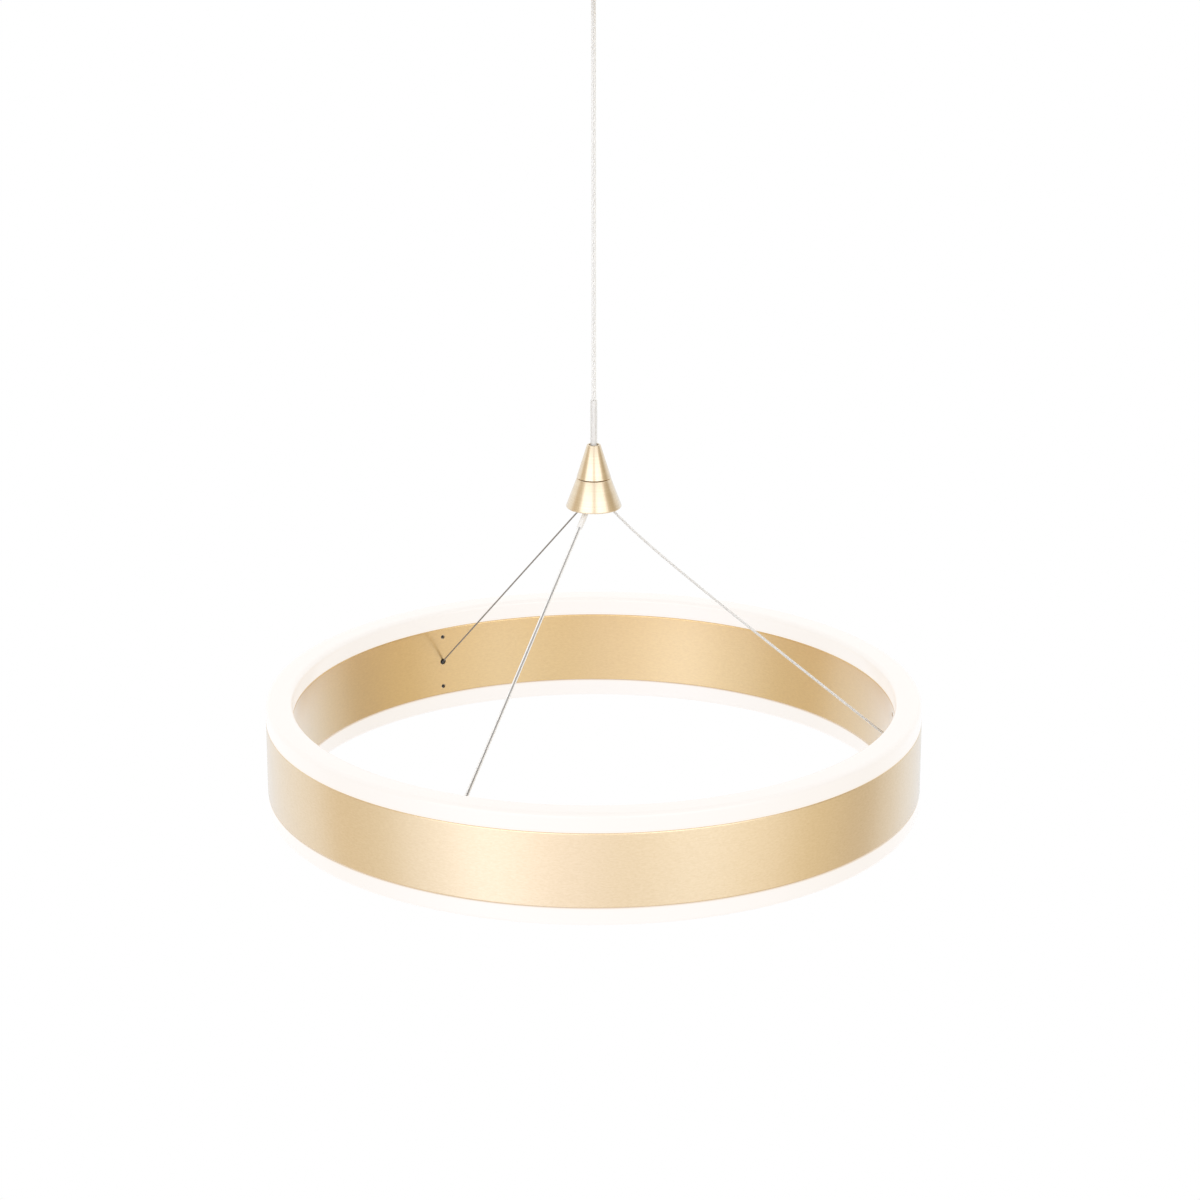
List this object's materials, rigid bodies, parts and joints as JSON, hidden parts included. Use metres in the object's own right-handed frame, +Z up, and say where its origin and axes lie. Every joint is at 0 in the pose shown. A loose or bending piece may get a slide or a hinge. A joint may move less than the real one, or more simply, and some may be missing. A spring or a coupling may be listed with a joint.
{
  "type": "led ring chandelier",
  "caption": "Slim gold ring lamp with a glowing opal edge above and below, hung by fine wires from a two-part turned cone on a single clear cable below a round ceiling canopy.",
  "frame": {"origin": "on the ceiling, midway between the two ceiling screws", "axes": "+Z up, with the lamp hanging below; +X towards the ring's fixing of the coated rope, and the canopy's side screws on X"},
  "size_m": [0.4, 0.4, 0.5422],
  "materials": {
    "gold_band": "satin gold, finely brushed along the ring",
    "gold_turned": "turned gold with a silky sheen",
    "gold_cup": "satin gold, spun",
    "opal": "opal diffuser, lit from inside",
    "light_chip": "phosphor light chips, lit",
    "strip_board": "white strip board",
    "deck_metal": "mill finish",
    "rope_steel": "fine twisted steel wire",
    "rope_coated": "twisted steel wire in a thin clear coat",
    "clear_cable": "clear jacket over a pale twisted core",
    "clear_sleeve": "clear soft tube",
    "fitting_steel": "bright zinc",
    "small_brass": "turned brass",
    "white_plastic": "moulded white",
    "block_metal": "milled"
  },
  "bodies": {
    "ceiling_fitting": {"ceiling_plate": "fitting_steel", "stem_bridge": "fitting_steel", "bridge_rivets": "fitting_steel", "driver_case": "white_plastic", "driver_screws": "fitting_steel", "terminal_block": "white_plastic", "terminal_screws": "small_brass", "grip_stem": "small_brass", "stem_nuts": "fitting_steel", "stem_collar": "gold_turned", "grip_collet": "small_brass", "inner_cable": "clear_cable", "side_screws": "gold_turned"},
    "canopy": {"canopy_cup": "gold_cup"},
    "grip": {"grip_nut": "gold_turned"},
    "cable": {"main_cable": "clear_cable"},
    "cable_foot": {"cable_sleeve": "clear_sleeve"},
    "hub_top": {"upper_cone": "gold_turned", "cable_end": "clear_cable", "cable_anchor": "fitting_steel", "swivel_nut": "small_brass"},
    "ring": {"lower_cone": "gold_turned", "base_plate": "gold_turned", "rope_stops": "fitting_steel", "power_stop": "fitting_steel", "rear_rope": "rope_steel", "coated_rope": "rope_coated", "power_cable": "clear_cable", "power_sleeve": "clear_sleeve", "rope_studs": "fitting_steel", "rope_blocks": "block_metal", "power_block": "block_metal", "grommet": "clear_sleeve", "outer_band": "gold_band", "inner_band": "gold_band", "retainers": "fitting_steel", "upper_deck": "deck_metal", "lower_deck": "deck_metal", "upper_diffuser": "opal", "lower_diffuser": "opal", "upper_strip": "strip_board", "lower_strip": "strip_board", "upper_lights": "light_chip", "lower_lights": "light_chip"}
  },
  "joints": [
    {"name": "canopy_twist", "type": "hinge", "parent": "ceiling_fitting", "child": "canopy", "pos_m": [0, 0, -0.016], "axis": [0, 0, 1], "range_deg": [0, 18]},
    {"name": "grip_tighten", "type": "hinge", "parent": "ceiling_fitting", "child": "grip", "pos_m": [0, 0, -0.04], "axis": [0, 0, -1], "range_deg": [0, 270]},
    {"name": "pendant_swing", "type": "hinge", "parent": "ceiling_fitting", "child": "cable", "pos_m": [0, 0, -0.044], "axis": [0, 1, 0], "range_deg": [-20, 20]},
    {"name": "height_adjust", "type": "slide", "parent": "cable", "child": "cable_foot", "axis": [0, 0, 1], "range_m": [0, 0.2], "deforming": ["main_cable"]},
    {"name": "ring_rock", "type": "hinge", "parent": "cable_foot", "child": "hub_top", "pos_m": [0, 0, -0.3175], "axis": [1, 0, 0], "range_deg": [-10, 10]},
    {"name": "ring_turn", "type": "hinge", "parent": "hub_top", "child": "ring", "pos_m": [0, 0, -0.3367], "axis": [0, 0, 1], "range_deg": [-180, 180]}
  ]
}
